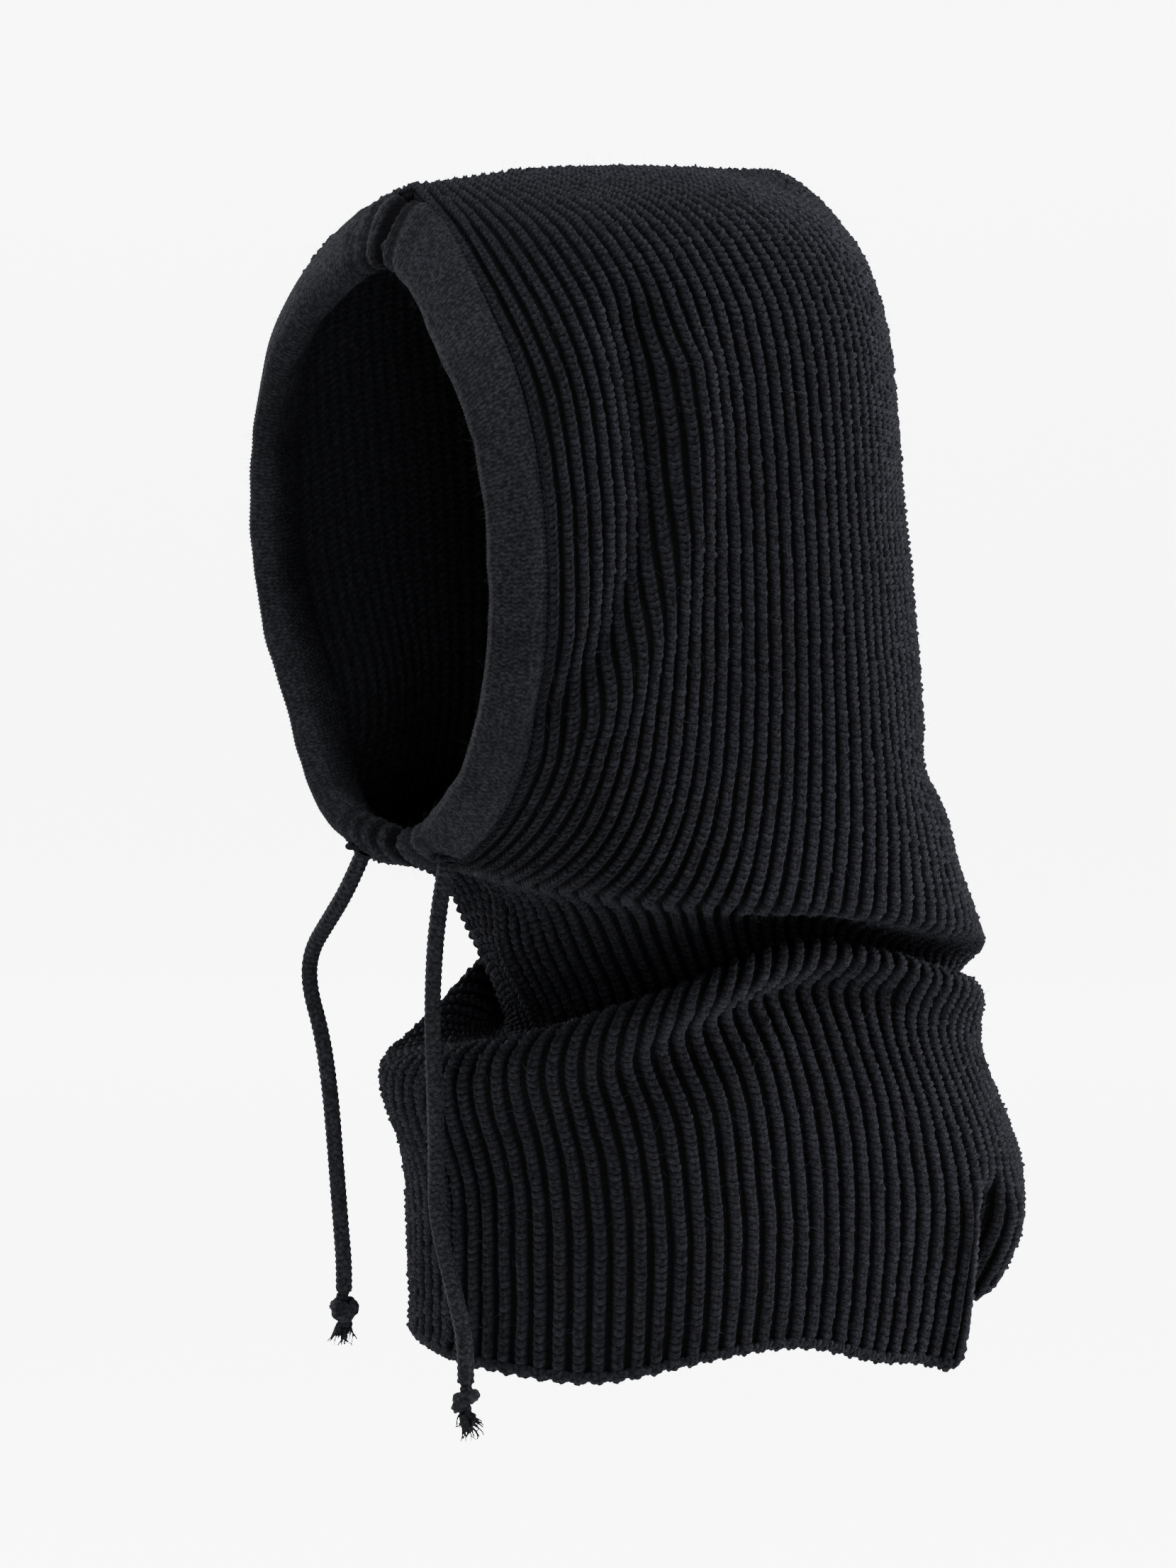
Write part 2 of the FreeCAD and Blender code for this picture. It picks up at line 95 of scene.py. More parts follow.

# -------------------- the strip of knit
# Each level of the left half, from the crown fold to the hem: its front edge (x, y, z), the
# widest place of its side (x, y, z) and its back edge (y, z), in millimetres.
LEVELS = {
    "crown_fold": ((0, -63, 115), (0, 28, 124), (97, 111)),
    "crown_round": ((21, -68, 106), (50, 28, 123), (103, 101)),
    "temple_top": ((49, -72, 82), (79, 24, 104), (105, 75)),
    "temple": ((71, -70, 50), (83, 22, 56), (110, 30)),
    "ear": ((77, -68, 2), (83, 22, 8), (115, -18)),
    "jaw": ((73, -67, -46), (83, 24, -38), (118, -62)),
    "jaw_low": ((54, -66, -80), (84, 28, -72), (128, -96)),
    "hood_bulge": ((25, -65, -98), (87, 32, -102), (142, -122)),
    "hood_fold": ((0, -58, -102), (88, 34, -119), (151, -136)),
    "hood_underside": ((0, -44, -106), (69, 34, -115), (154, -142)),
    "throat": ((0, -33, -127), (51, 34, -120), (156, -147)),
    "neck_pit": ((0, -8, -161), (51, 34, -145), (157, -150)),
    "roll_inside": ((0, -28, -165), (54, 34, -138), (158, -153)),
    "roll_top": ((0, -48, -154), (66, 34, -118), (160, -156)),
    "roll_outside": ((0, -64, -168), (81, 34, -125), (161, -162)),
    "roll_underside": ((0, -54, -193), (62, 34, -143), (160, -172)),
    "bib_top": ((0, -50, -206), (70, 36, -169), (171, -196)),
    "bib_middle": ((0, -50, -226), (70, 38, -214), (184, -218)),
    "bib_low": ((0, -50, -244), (68, 40, -245), (176, -229)),
    "hem": ((0, -50, -258), (66, 42, -261), (168, -239)),
}
HEM_CORNER_DIP = 25
HEM_DIP_SHARE = {"bib_middle": 0.25, "bib_low": 0.7, "hem": 1.0}
FIRST_CLOSED_LEVEL = "hood_fold"
HOOD_ENDS_AT = "hood_underside"
NECK_ENDS_AT = "neck_pit"

RIBS = 45  # ridges across one half
COURSE_PITCH = 0.0022  # height of one stitch
ROWS_PER_COURSE = 4
SAMPLES_ACROSS_RIB = (-0.5, -0.36, -0.29, -0.15, 0.0, 0.15, 0.29, 0.36)
STITCH_SLANT = 1.3  # how far a stitch's legs rise, in courses, from ridge middle to groove
RIDGE_HEIGHT = 0.0030
GROOVE_DEPTH = 0.0020  # groove floors lie this far under the frame's surface
RIDGE_HALF_WIDTH = 0.36  # in ribs
STRAND_HEIGHT = 0.00070  # how far each stitch stands proud of its ridge
STRAND_UNEVEN = 0.45
STITCH_UNEVEN = 0.00024
SPLIT_DEPTH = 0.00095  # the line down the middle of a ridge, between its stitches' legs
SPLIT_WIDTH = 0.08
RIB_SWELL = 0.06
RIB_SWAY = 0.05  # in ribs
CLOTH_LUMPS = 0.0005
KNIT_THICKNESS = 0.0045
INNER_RIDGE_HEIGHT = 0.0012
INNER_SHADE_VALUE = 0.6  # the inner face's value for the wool's painted groove shade: painted shade that darkens the inside of the knit
FINE_ROWS, FINE_COLUMNS = 900, 320  # samples of the strip's spline surface
BAKE_FACE, BAKE_EDGE, BAKE_BACK = 0.80, 0.81, 0.82  # where each side starts in the bake's layout

# Soft folds of the hanging cloth: a place, its reach along each axis and the shift there.
FOLDS = [
    ((8, 96, 116), (54, 26, 14), (0, 0.5, 8.0)),  # corner at the back of the crown
    ((10, 120, 84), (60, 22, 30), (0, -4.0, 0)),
    ((20, 114, -38), (60, 30, 44), (0, -3.2, 0)),  # back of the head
    ((-22, -74, 110), (26, 30, 20), (-1, 0, 4.5)),  # far side of the forehead
    ((-48, -74, 84), (26, 40, 24), (-3.6, 0, 3)),  # far temple
    ((-78, -74, 6), (22, 30, 44), (3.6, 0, 0)),  # far edge of the face
    ((-80, -38, -50), (16, 30, 34), (5, 3, 0)),
    ((-66, -64, -62), (32, 50, 38), (9.5, 3, 1)),  # far jaw, drawn in
    ((-4, -46, -108), (30, 15, 11), (0, 0, 3)),  # under the chin
    ((-6, -40, -114), (26, 20, 11), (0, 8, 3)),
    ((-58, -16, -110), (30, 30, 12), (3, 3, 6)),
    ((-32, -30, -136), (24, 26, 24), (2, 4, 0)),  # far side of the throat
    ((-44, -40, -144), (36, 44, 18), (4, 3, -15)),  # far side of the rolled front
    ((-68, 5, -140), (30, 36, 17), (3, 3, -10)),
    ((-46, -56, -182), (36, 28, 18), (-3, -3, -4)),
    ((66, 36, -124), (24, 30, 9), (0, 0, 3.5)),  # crest of the roll
    ((0, 158, -126), (80, 34, 14), (0, 2, -1)),  # back of the hood, over the neck
    ((20, 154, -140), (54, 24, 8), (2, 6, 0)),
    ((32, 150, -152), (30, 24, 7), (-1.5, -2, 0)),
    ((56, 104, -34), (30, 30, 38), (2.2, 2.0, 0)),  # behind the ear
    ((52, 112, -92), (30, 26, 15), (1.5, 2.0, 0)),  # the step below it
    ((48, 116, -72), (30, 26, 8), (-1.0, -2.0, 0)),
    ((70, 42, -262), (30, 36, 26), (1, 0, 4)),  # the hem's waves
    ((64, -40, -262), (30, 30, 20), (1, 0, -7)),
    ((20, -56, -262), (44, 24, 20), (0, 0, -4)),
    ((-72, 20, -262), (30, 36, 26), (-2, 0, 4)),
    ((-70, 90, -262), (30, 30, 26), (3, 0, -3)),
    ((57, 116, -272), (16, 15, 26), (2, -1, -9)),  # the hem's rear corner
    ((64, 84, -268), (16, 26, 20), (0, 0, -3)),
    ((14, 178, -232), (40, 30, 22), (1, 1, 0)),  # slouch at the back
    ((84, 60, -60), (30, 26, 50), (2.0, 0, 0)),
    ((84, 96, 40), (30, 30, 55), (-2.5, -1, 0)),
    ((-84, 10, 20), (30, 24, 60), (2.5, 0, 0)),
    ((-84, 70, -40), (30, 34, 50), (-2, 0, 0)),
    ((60, 120, -225), (26, 26, 34), (2, 3, 0)),
    ((-64, 110, -205), (26, 30, 30), (-3, 2, 0)),
]
# Creases: the places they run through, their half width and the shift at their middle.
CREASES = [
    ([(80, -34, 72), (83, -29, 40), (83, -27, 16), (83, -33, -7), (82, -43, -27), (74, -56, -45)],
     11, (-6.0, 0.5, 0)),  # dent beside the face
    ([(82, -14, 60), (83, -13, 34), (83, -17, 8), (83, -25, -14), (82, -36, -31), (76, -50, -48)],
     9, (3.8, 0.3, 0)),  # and the crest behind it
    ([(62, -38, -172), (68, -16, -164), (71, 6, -155), (71, 24, -148), (68, 48, -143), (62, 78, -142)],
     8, (-7.0, 0, 2.5)),  # under the roll
    ([(64, -46, -190), (70, -22, -182), (73, 2, -174), (74, 24, -166)], 12, (3.0, 0, 0)),
    ([(-62, -38, -172), (-68, -16, -164), (-71, 6, -155), (-71, 24, -148), (-62, 78, -142)],
     8, (3, 0, 1)),
    ([(60, 120, -222), (58, 119, -250), (57, 117, -278)], 8, (5, -3, 0)),  # rear corner of the bib
    ([(57, 131, -224), (55, 133, -245), (53, 134, -270)], 8, (-9, -1, 3)),
    ([(46, 152, -230), (42, 154, -246)], 12, (2, 2.5, 0)),
    ([(-20, 158, -190), (-34, 152, -220), (-40, 146, -262)], 9, (0, -4, 0)),
]


def lerp(start, end, share):
    return start + (end - start) * share


def level_places(level):
    """Seven control places, in millimetres, of one level of the left half, front edge to back edge."""
    (fx, fy, fz), (sx, sy, sz), (by, bz) = LEVELS[level]
    if level == "crown_fold":
        front = [(0, lerp(fy, sy, a), lerp(fz, sz, b)) for a, b in ((0, 0), (0.35, 0.75), (0.75, 1))]
        back = ((0.15, 0), (0.55, 0.1), (0.86, 0.5), (1, 1))
        return front + [(0, lerp(sy, by, a), lerp(sz, bz, b)) for a, b in back]
    dip = HEM_CORNER_DIP * HEM_DIP_SHARE.get(level, 0)
    return [
        (fx, fy, fz),
        (lerp(fx, sx, 0.56), lerp(fy, sy, 0.04), lerp(fz, sz, 0.15)),
        (sx * 0.96, lerp(fy, sy, 0.40), lerp(fz, sz, 0.55)),
        (sx * 1.02, lerp(sy, by, 0.10), sz),
        (sx * 0.94, lerp(sy, by, 0.62), lerp(sz, bz, 0.55) - dip),
        (sx * 0.50, by, lerp(sz, bz, 0.92)),
        (0, by, bz),
    ]


def strip_net():
    return np.array([level_places(level) for level in LEVELS], float)


# -------------------- splines and noise
def spline_weights(count, places):
    """Weights of a clamped cubic's control points at each place between 0 and 1."""
    knots = np.concatenate([np.zeros(3), np.linspace(0, 1, count - 2), np.ones(3)])
    places = np.clip(places, 0, 1 - 1e-9)[:, None]
    weights = ((places >= knots[:-1]) & (places < knots[1:])).astype(float)
    for degree in (1, 2, 3):
        rise = knots[degree:-1] - knots[:-degree - 1]
        fall = knots[degree + 1:] - knots[1:-degree]
        up = (places - knots[:-degree - 1]) / np.where(rise > 0, rise, 1) * (rise > 0)
        down = (knots[degree + 1:] - places) / np.where(fall > 0, fall, 1) * (fall > 0)
        weights = up * weights[:, :-1] + down * weights[:, 1:]
    return weights


def ring_weights(count, places):
    """Weights of a closed cubic's control points; it starts where the frame's does."""
    at = (np.asarray(places) % 1) * count
    weights = np.zeros((len(at), count))
    cell = np.floor(at).astype(int)
    f = at - cell
    parts = (
        (1 - f) ** 3 / 6, (3 * f**3 - 6 * f**2 + 4) / 6, (-3 * f**3 + 3 * f**2 + 3 * f + 1) / 6, f**3 / 6)
    for step, part in enumerate(parts):
        weights[np.arange(len(at)), (cell + step - 1) % count] += part
    return weights


def surface_of(down, across, net):
    """Points of a spline surface from its weights down and across the net."""
    return np.einsum("ti,sj,ijk->tsk", down, across, net)


def bell(distance, width):
    """1 at no distance, falling softly to nothing past the width."""
    return np.exp(-((distance / width) ** 2))


def soft_noise(rows, columns, rough_rows, rough_columns):
    """Smooth random values on a grid, roughly between -1 and 1."""
    values = RANDOM.uniform(-1.6, 1.6, (rough_rows, rough_columns))
    down = spline_weights(rough_rows, np.linspace(0, 1, rows))
    across = spline_weights(rough_columns, np.linspace(0, 1, columns))
    return down @ values @ across.T


def along(points):
    """Distance of each point from the first one, along the line."""
    steps = np.linalg.norm(np.diff(points, axis=0), axis=1)
    return np.concatenate([[0], np.cumsum(steps)])


def at_distances(points, distances):
    """Points of the line at these distances from its start."""
    run = along(points)
    return np.stack([np.interp(distances, run, points[:, k]) for k in range(3)], axis=-1)


def spaced(points, step):
    """The line again, with its points `step` apart."""
    length = along(points)[-1]
    return at_distances(points, np.linspace(0, length, max(2, round(length / step) + 1)))


def unit(vectors):
    return vectors / np.maximum(np.linalg.norm(vectors, axis=-1, keepdims=True), 1e-12)


# -------------------- meshes
def add_object(name, data):
    obj = bpy.data.objects.new(name, data)
    bpy.context.scene.collection.objects.link(obj)
    return obj


def add_mesh(name, points, faces, material, layers=(), values=None):
    """A smooth-shaded mesh from arrays.

    faces is a list of arrays, each with one row of point numbers to a face.  layers holds
    (name, list of arrays) pairs with a UV place for every corner of those faces.
    """
    mesh = bpy.data.meshes.new(name)
    mesh.vertices.add(len(points))
    mesh.vertices.foreach_set("co", np.asarray(points, np.float32).ravel())
    corners = np.concatenate([f.ravel() for f in faces]).astype(np.int32)
    sizes = np.concatenate([np.full(len(f), f.shape[1]) for f in faces])
    mesh.loops.add(len(corners))
    mesh.loops.foreach_set("vertex_index", corners)
    mesh.polygons.add(len(sizes))
    starts = np.concatenate([[0], np.cumsum(sizes)[:-1]]).astype(np.int32)
    mesh.polygons.foreach_set("loop_start", starts)
    mesh.update(calc_edges=True)
    mesh.polygons.foreach_set("use_smooth", np.ones(len(sizes), bool))
    for layer, places in layers:
        flat = np.concatenate([p.reshape(-1, 2) for p in places]).astype(np.float32)
        mesh.uv_layers.new(name=layer).data.foreach_set("uv", flat.ravel())
    if values is not None:
        relief = mesh.attributes.new("relief", "FLOAT", "POINT")
        relief.data.foreach_set("value", values.astype(np.float32))
    mesh.materials.append(material)
    return add_object(name, mesh)


def belongs(piece, body, stands_for=None):
    """Tie a piece to its body, and hide the frame's node that it stands for."""
    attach(piece, body)
    if stands_for:
        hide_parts(stands_for)


def grid_corners(rows, columns, ring_rows=False, ring_columns=False):
    """(row, column) of the four corners of every quad of a grid; a ring's last is past its end."""
    down = np.arange(rows if ring_rows else rows - 1)
    across = np.arange(columns if ring_columns else columns - 1)
    i, j = np.meshgrid(down, across, indexing="ij")
    corners = np.stack([np.stack(c, -1) for c in ((i, j), (i + 1, j), (i + 1, j + 1), (i, j + 1))], -2)
    return corners.reshape(-1, 4, 2)


def numbers(corners, rows, columns):
    """The point numbers of corners given as (row, column)."""
    return (corners[..., 0] % rows) * columns + corners[..., 1] % columns


def normals_of(grid):
    """Unit normals of a grid of points, from its two directions."""
    return unit(np.cross(np.gradient(grid, axis=0), np.gradient(grid, axis=1)))


# -------------------- materials
def new_material(name, roughness, sheen=0.0, sheen_tint=(1, 1, 1)):
    material = bpy.data.materials.new(name)
    material.use_nodes = True
    shader = material.node_tree.nodes["Principled BSDF"]
    settings = {
        "Roughness": roughness, "Specular IOR Level": 0.04,
        "Sheen Weight": sheen, "Sheen Roughness": 0.45, "Sheen Tint": (*sheen_tint, 1),
    }
    for socket, value in settings.items():
        shader.inputs[socket].default_value = value
    return material, material.node_tree, shader


def node(tree, kind, **inputs):
    made = tree.nodes.new(kind)
    for name, value in inputs.items():
        made.inputs[name.replace("_", " ")].default_value = value
    return made


def math_node(tree, operation, first, second=None):
    made = tree.nodes.new("ShaderNodeMath")
    made.operation = operation
    for socket, value in zip(made.inputs, (first, second)):
        if isinstance(value, (int, float)):
            socket.default_value = value
        elif value is not None:
            tree.links.new(value, socket)
    return made.outputs[0]


def mix_colours(tree, factor, first, second):
    made = tree.nodes.new("ShaderNodeMix")
    made.data_type = "RGBA"
    for socket, value in (("Factor", factor), ("A", first), ("B", second)):
        if isinstance(value, bpy.types.NodeSocket):
            tree.links.new(value, made.inputs[socket])
        else:
            made.inputs[socket].default_value = (*value, 1)
    return made.outputs["Result"]


def ramp(tree, value, low, high):
    """A soft rise from 0 at low to 1 at high."""
    made = tree.nodes.new("ShaderNodeMapRange")
    made.interpolation_type = "SMOOTHSTEP"
    made.inputs["From Min"].default_value = low
    made.inputs["From Max"].default_value = high
    tree.links.new(value, made.inputs["Value"])
    return made.outputs["Result"]


def noise(tree, place, scale, detail=2.0):
    made = node(tree, "ShaderNodeTexNoise", Scale=scale, Detail=detail, Roughness=0.6)
    tree.links.new(place, made.inputs["Vector"])
    return made.outputs["Fac"]


def stretched(tree, place, scale):
    made = tree.nodes.new("ShaderNodeMapping")
    made.inputs["Scale"].default_value = scale
    tree.links.new(place, made.inputs["Vector"])
    return made.outputs["Vector"]


def stitch_valleys(tree, rib, course, slant):
    """0 between one stitch and the next, 1 at its middle; slant tilts the stitches of a wale."""
    part = math_node(tree, "SUBTRACT", math_node(tree, "FRACT", rib), 0.5)
    tilt = math_node(tree, "MULTIPLY", math_node(tree, "ABSOLUTE", part), slant)
    course = math_node(tree, "ADD", course, tilt)
    wave = math_node(tree, "SINE", math_node(tree, "MULTIPLY", course, math.pi))
    return math_node(tree, "ABSOLUTE", wave)


def wool(name, dark, light, fleck, rib_twist, course_twist, slant):
    """Charcoal wool: painted shade darkens its grooves and the gaps between its stitches; it is flecked
    with paler fibres, with twisted yarn in its bump.

    dark, light and fleck are its colours.  The twists say how many turns the yarn's ply takes
    across a rib and up a course, in radians, and slant how its stitches lean.
    """
    material, tree, shader = new_material(name, 0.86, sheen=0.02, sheen_tint=(0.55, 0.58, 0.66))
    place = tree.nodes.new("ShaderNodeTexCoord").outputs["Object"]
    layer = node(tree, "ShaderNodeUVMap")
    layer.uv_map = "Knit"
    knit = layer.outputs["UV"]
    split = tree.nodes.new("ShaderNodeSeparateXYZ")
    tree.links.new(knit, split.inputs["Vector"])
    rib, course = split.outputs["X"], split.outputs["Y"]
    relief = tree.nodes.new("ShaderNodeAttribute")
    relief.attribute_name = "relief"
    # painted shade: the colour that grooves, stitch gaps and the inner face are darkened towards
    painted_shade = tuple(value * 0.12 for value in dark)

    mottled = noise(tree, place, 780.0, 4.0)
    fibres = noise(tree, stretched(tree, knit, (11.0, 3.2, 1.0)), 3.0, 4.0)
    broad = noise(tree, place, 22.0, 3.0)
    flecks = math_node(tree, "MULTIPLY", ramp(tree, fibres, 0.60, 0.78), 0.55)
    patches = math_node(tree, "MULTIPLY", ramp(tree, broad, 0.35, 0.75), 0.30)
    valleys = stitch_valleys(tree, rib, course, slant)
    colour = mix_colours(tree, ramp(tree, mottled, 0.36, 0.66), dark, light)
    colour = mix_colours(tree, flecks, colour, fleck)
    colour = mix_colours(tree, patches, colour, dark)
    # painted shade in the grooves and on the inner face, where the relief value is low
    colour = mix_colours(tree, ramp(tree, relief.outputs["Fac"], 0.12, 0.85), painted_shade, colour)
    # painted shade in the gaps between one stitch and the next
    colour = mix_colours(tree, ramp(tree, valleys, -0.45, 0.7), painted_shade, colour)
    tree.links.new(colour, shader.inputs["Base Color"])

    twist = math_node(tree, "ADD", math_node(tree, "MULTIPLY", rib, rib_twist),
                      math_node(tree, "MULTIPLY", course, course_twist))
    ply = math_node(tree, "MULTIPLY", math_node(tree, "SINE", twist), 0.22)
    hairs = math_node(tree, "ADD", noise(tree, place, 1500.0, 4.0),
                      noise(tree, stretched(tree, knit, (26, 9, 1)), 2.0, 3.0))
    surface = math_node(tree, "ADD", ply, hairs)
    surface = math_node(tree, "ADD", surface, math_node(tree, "MULTIPLY", valleys, 0.8))
    bump = node(tree, "ShaderNodeBump", Strength=0.85, Distance=0.0008)
    tree.links.new(surface, bump.inputs["Height"])
    tree.links.new(bump.outputs["Normal"], shader.inputs["Normal"])
    return material


def studio_paint(name, colour, glow=0.0):
    """Matt near-white paint; glow makes it shine like a lit backdrop."""
    material, tree, shader = new_material(name, 0.8)
    place = tree.nodes.new("ShaderNodeTexCoord").outputs["Object"]
    paler = tuple(min(1, value * 1.02) for value in colour)
    tree.links.new(mix_colours(tree, noise(tree, place, 1.5), colour, paler), shader.inputs["Base Color"])
    shader.inputs["Emission Color"].default_value = (0.975, 0.985, 1.0, 1)
    shader.inputs["Emission Strength"].default_value = glow
    return material


# -------------------- the draped strip
def drape(points):
    """Move points, in metres, by the soft folds and creases that the hanging cloth takes."""
    moved = points / MM
    shift = np.zeros_like(moved)
    for place, reach, way in FOLDS:
        away = ((moved - np.array(place)) / np.array(reach)) ** 2
        shift += np.exp(-away.sum(-1))[..., None] * np.array(way)
    for places, width, way in CREASES:
        nearest = np.full(moved.shape[:-1], 1e9)
        for start, end in zip(np.array(places[:-1], float), np.array(places[1:], float)):
            run = end - start
            share = np.clip(((moved - start) @ run) / (run @ run), 0, 1)
            gap = np.linalg.norm(moved - start - share[..., None] * run, axis=-1)
            nearest = np.minimum(nearest, gap)
        shift += bell(nearest, width)[..., None] * np.array(way)
    return (moved + shift) * MM


def strip_columns():
    """Places of the grid's columns across one half, and each one's offset from its ridge."""
    places = [(rib + 0.5 + offset) / RIBS for rib in range(RIBS) for offset in SAMPLES_ACROSS_RIB]
    return np.array(places + [1.0]), np.array(list(SAMPLES_ACROSS_RIB) * RIBS + [0.5])


class Strip:
    """The left half's surface, even in arc length across each course and along each rib."""

    def __init__(self):
        net = strip_net() * MM
        fine = np.linspace(0, 1, FINE_ROWS)
        across = spline_weights(net.shape[1], np.linspace(0, 1, FINE_COLUMNS))
        surface = surface_of(spline_weights(len(net), fine), across, net)
        self.places, self.offsets = strip_columns()
        rows = np.stack([at_distances(line, self.places * along(line)[-1]) for line in surface])
        self.lines = rows.transpose(1, 0, 2)
        self.lengths = np.array([along(line)[-1] for line in self.lines])
        self.courses = round(self.lengths.mean() / COURSE_PITCH)
        self.rows = self.courses * ROWS_PER_COURSE + 1
        middle = along(self.lines[len(self.lines) // 2])
        self.level_rows = {}
        for index, level in enumerate(LEVELS):
            distance = np.interp(self.greville(index), fine, middle)
            self.level_rows[level] = round(distance / middle[-1] * self.courses) * ROWS_PER_COURSE

    @staticmethod
    def greville(index):
        """The share of the way down the spline at which a level has the most pull."""
        spans = len(LEVELS) - 3
        inner = [min(max(index + step - 3, 0), spans) for step in (1, 2, 3)]
        return sum(inner) / (3 * spans)

    def grid(self, slant):
        """Rows of points from crown to hem; slant turns each row into the zigzag of a stitch row."""
        share = np.linspace(0, 1, self.rows)
        out = np.zeros((self.rows, len(self.lines), 3))
        for j, line in enumerate(self.lines):
            length = self.lengths[j]
            drop = slant * abs(self.offsets[j]) * length / self.courses
            fade = np.clip(share * self.courses / 3, 0, 1)
            out[:, j] = at_distances(line, np.clip(share * length - drop * fade, 0, length))
        return out


def join_normals(left, right, joined):
    """Give both halves the same normals where they meet."""
    both = unit(left + right)
    left[joined] = both[joined]
    right[joined] = both[joined]


def knit_relief(strip):
    """Height of every point of the ribbed face over the groove floor."""
    rows = np.arange(strip.rows) / ROWS_PER_COURSE
    ridge = np.clip(1 - np.abs(strip.offsets / RIDGE_HALF_WIDTH) ** 2.1, 0, 1) ** 0.62
    strand = np.abs(np.sin(np.pi * rows)) ** 0.8
    courses = strip.courses + 2
    uneven = RANDOM.normal(0, 1, (courses, RIBS * 2 + 1))
    course_of = np.minimum(rows.astype(int), courses - 1)
    side_of = np.minimum((strip.places * RIBS * 2).astype(int), RIBS * 2)
    uneven = uneven[np.ix_(course_of, side_of)]
    swell = soft_noise(strip.rows, len(strip.places), 60, 30)
    height = RIDGE_HEIGHT * (1 + RIB_SWELL * swell)
    height = height + STRAND_HEIGHT * (strand[:, None] - 0.7) * (1 + STRAND_UNEVEN * uneven)
    height = height - SPLIT_DEPTH * bell(strip.offsets, SPLIT_WIDTH) + STITCH_UNEVEN * uneven
    return height * ridge


def knit_half(strip, grid, normals, side, joined, material):
    """The panels of one half of the strip, each a closed shell; returns the ribbed face's points."""
    height = knit_relief(strip)
    last_row, last_column = strip.rows - 1, len(strip.places) - 1
    drift = soft_noise(strip.rows, RIBS + 1, 70, RIBS + 1)
    rib_of = np.minimum((strip.places * RIBS).astype(int), RIBS - 1)
    sway = RIB_SWAY * drift[:, rib_of]
    sway[:, [0, last_column]] = 0
    lumps = CLOTH_LUMPS * soft_noise(strip.rows, last_column + 1, 34, 14)
    lumps[joined] = 0
    across = np.gradient(grid, axis=1) / np.gradient(strip.places * RIBS)[None, :, None]
    outer = grid + across * sway[..., None] + normals * (height - GROOVE_DEPTH + lumps)[..., None]
    inner_columns = np.array([j for j in range(last_column + 1) if j % 2 == 0 or j == last_column])
    kept = np.ix_(np.arange(0, strip.rows, ROWS_PER_COURSE), inner_columns)
    from_ridge = np.abs(strip.offsets[inner_columns]) * 2
    depth = KNIT_THICKNESS - INNER_RIDGE_HEIGHT * (1 - from_ridge)
    inner = grid[kept] - normals[kept] * depth[None, :, None]
    hood, neck = strip.level_rows[HOOD_ENDS_AT], strip.level_rows[NECK_ENDS_AT]
    third, half, two_thirds = (int(RIBS * part / 6) * len(SAMPLES_ACROSS_RIB) for part in (2, 3, 4))
    spans = {
        "hood_front": (0, hood, 0, third), "hood_side": (0, hood, third, two_thirds),
        "hood_back": (0, hood, two_thirds, last_column), "neck": (hood, neck, 0, last_column),
        "cowl_front": (neck, last_row, 0, half), "cowl_back": (neck, last_row, half, last_column),
    }
    for name, span in spans.items():
        piece = knit_panel(f"{name}_knit_{side}_ribbed", strip, outer, inner, height / RIDGE_HEIGHT,
                           inner_columns, span, material, flipped=side == "right")
        belongs(piece, "garment", f"{name.split('_')[0]}_knit_{side}")
    return outer


def knit_panel(name, strip, outer, inner, relief, inner_columns, span, material, flipped):
    """One closed panel: ribbed face, inner face and the edges between them."""
    r0, r1, c0, c1 = span
    face = outer[r0:r1 + 1, c0:c1 + 1]
    kept = (inner_columns >= c0) & (inner_columns <= c1)
    back = inner[r0 // ROWS_PER_COURSE:r1 // ROWS_PER_COURSE + 1][:, kept]
    rows, columns = face.shape[:2]
    back_rows, back_columns = back.shape[:2]
    face_numbers = np.arange(rows * columns).reshape(rows, columns)
    back_numbers = np.arange(back_rows * back_columns).reshape(back_rows, back_columns) + rows * columns
    face_corners = grid_corners(rows, columns)
    back_corners = grid_corners(back_rows, back_columns)[:, ::-1]
    ribs = strip.places[c0:c1 + 1] * RIBS
    courses = np.arange(r0, r1 + 1) / ROWS_PER_COURSE
    under = inner_columns[kept] - c0
    faces, knit, bake = [], [], []
    for corners, which, rib, course, starts, share in (
            (face_corners, face_numbers, ribs, courses, 0, BAKE_FACE),
            (back_corners, back_numbers, ribs[under], courses[::ROWS_PER_COURSE],
             BAKE_BACK, 1 - BAKE_BACK)):
        i, j = corners[..., 0], corners[..., 1]
        faces.append(which[i, j])
        knit.append(np.stack([rib[j], course[i]], -1))
        down = starts + i / (which.shape[0] - 1) * share
        bake.append(np.stack([j / (which.shape[1] - 1), down], -1))

    def add_edge(run, back_pair, reverse, rib, course):
        ring = np.array([[*run, *back_pair]])
        faces.append(ring[:, ::-1] if reverse else ring)
        knit.append(np.full(ring.shape + (2,), (rib, course)))
        bake.append(np.full(ring.shape + (2,), BAKE_EDGE))

    for end in (0, -1):
        for k in range(back_columns - 1):
            run = face_numbers[end, under[k]:under[k + 1] + 1]
            pair = back_numbers[end, k + 1], back_numbers[end, k]
            add_edge(run, pair, end == -1, ribs[under[k]], courses[end])
    for end in (0, -1):
        for k in range(back_rows - 1):
            run = face_numbers[k * ROWS_PER_COURSE:(k + 1) * ROWS_PER_COURSE + 1, end]
            pair = back_numbers[k + 1, end], back_numbers[k, end]
            add_edge(run, pair, end == 0, ribs[end], courses[k * ROWS_PER_COURSE])
    if flipped:
        faces, knit, bake = ([part[:, ::-1] for part in parts] for parts in (faces, knit, bake))
    points = np.concatenate([face.reshape(-1, 3), back.reshape(-1, 3)])
    # values for the wool's painted shade: the ribbed face's relief darkens its grooves, and the inner face
    # is painted darker
    inner_values = np.full(back_numbers.size, INNER_SHADE_VALUE)
    values = np.concatenate([relief[r0:r1 + 1, c0:c1 + 1].ravel(), inner_values])
    return add_mesh(name, points, faces, material, [("OFBake", bake), ("Knit", knit)], values)


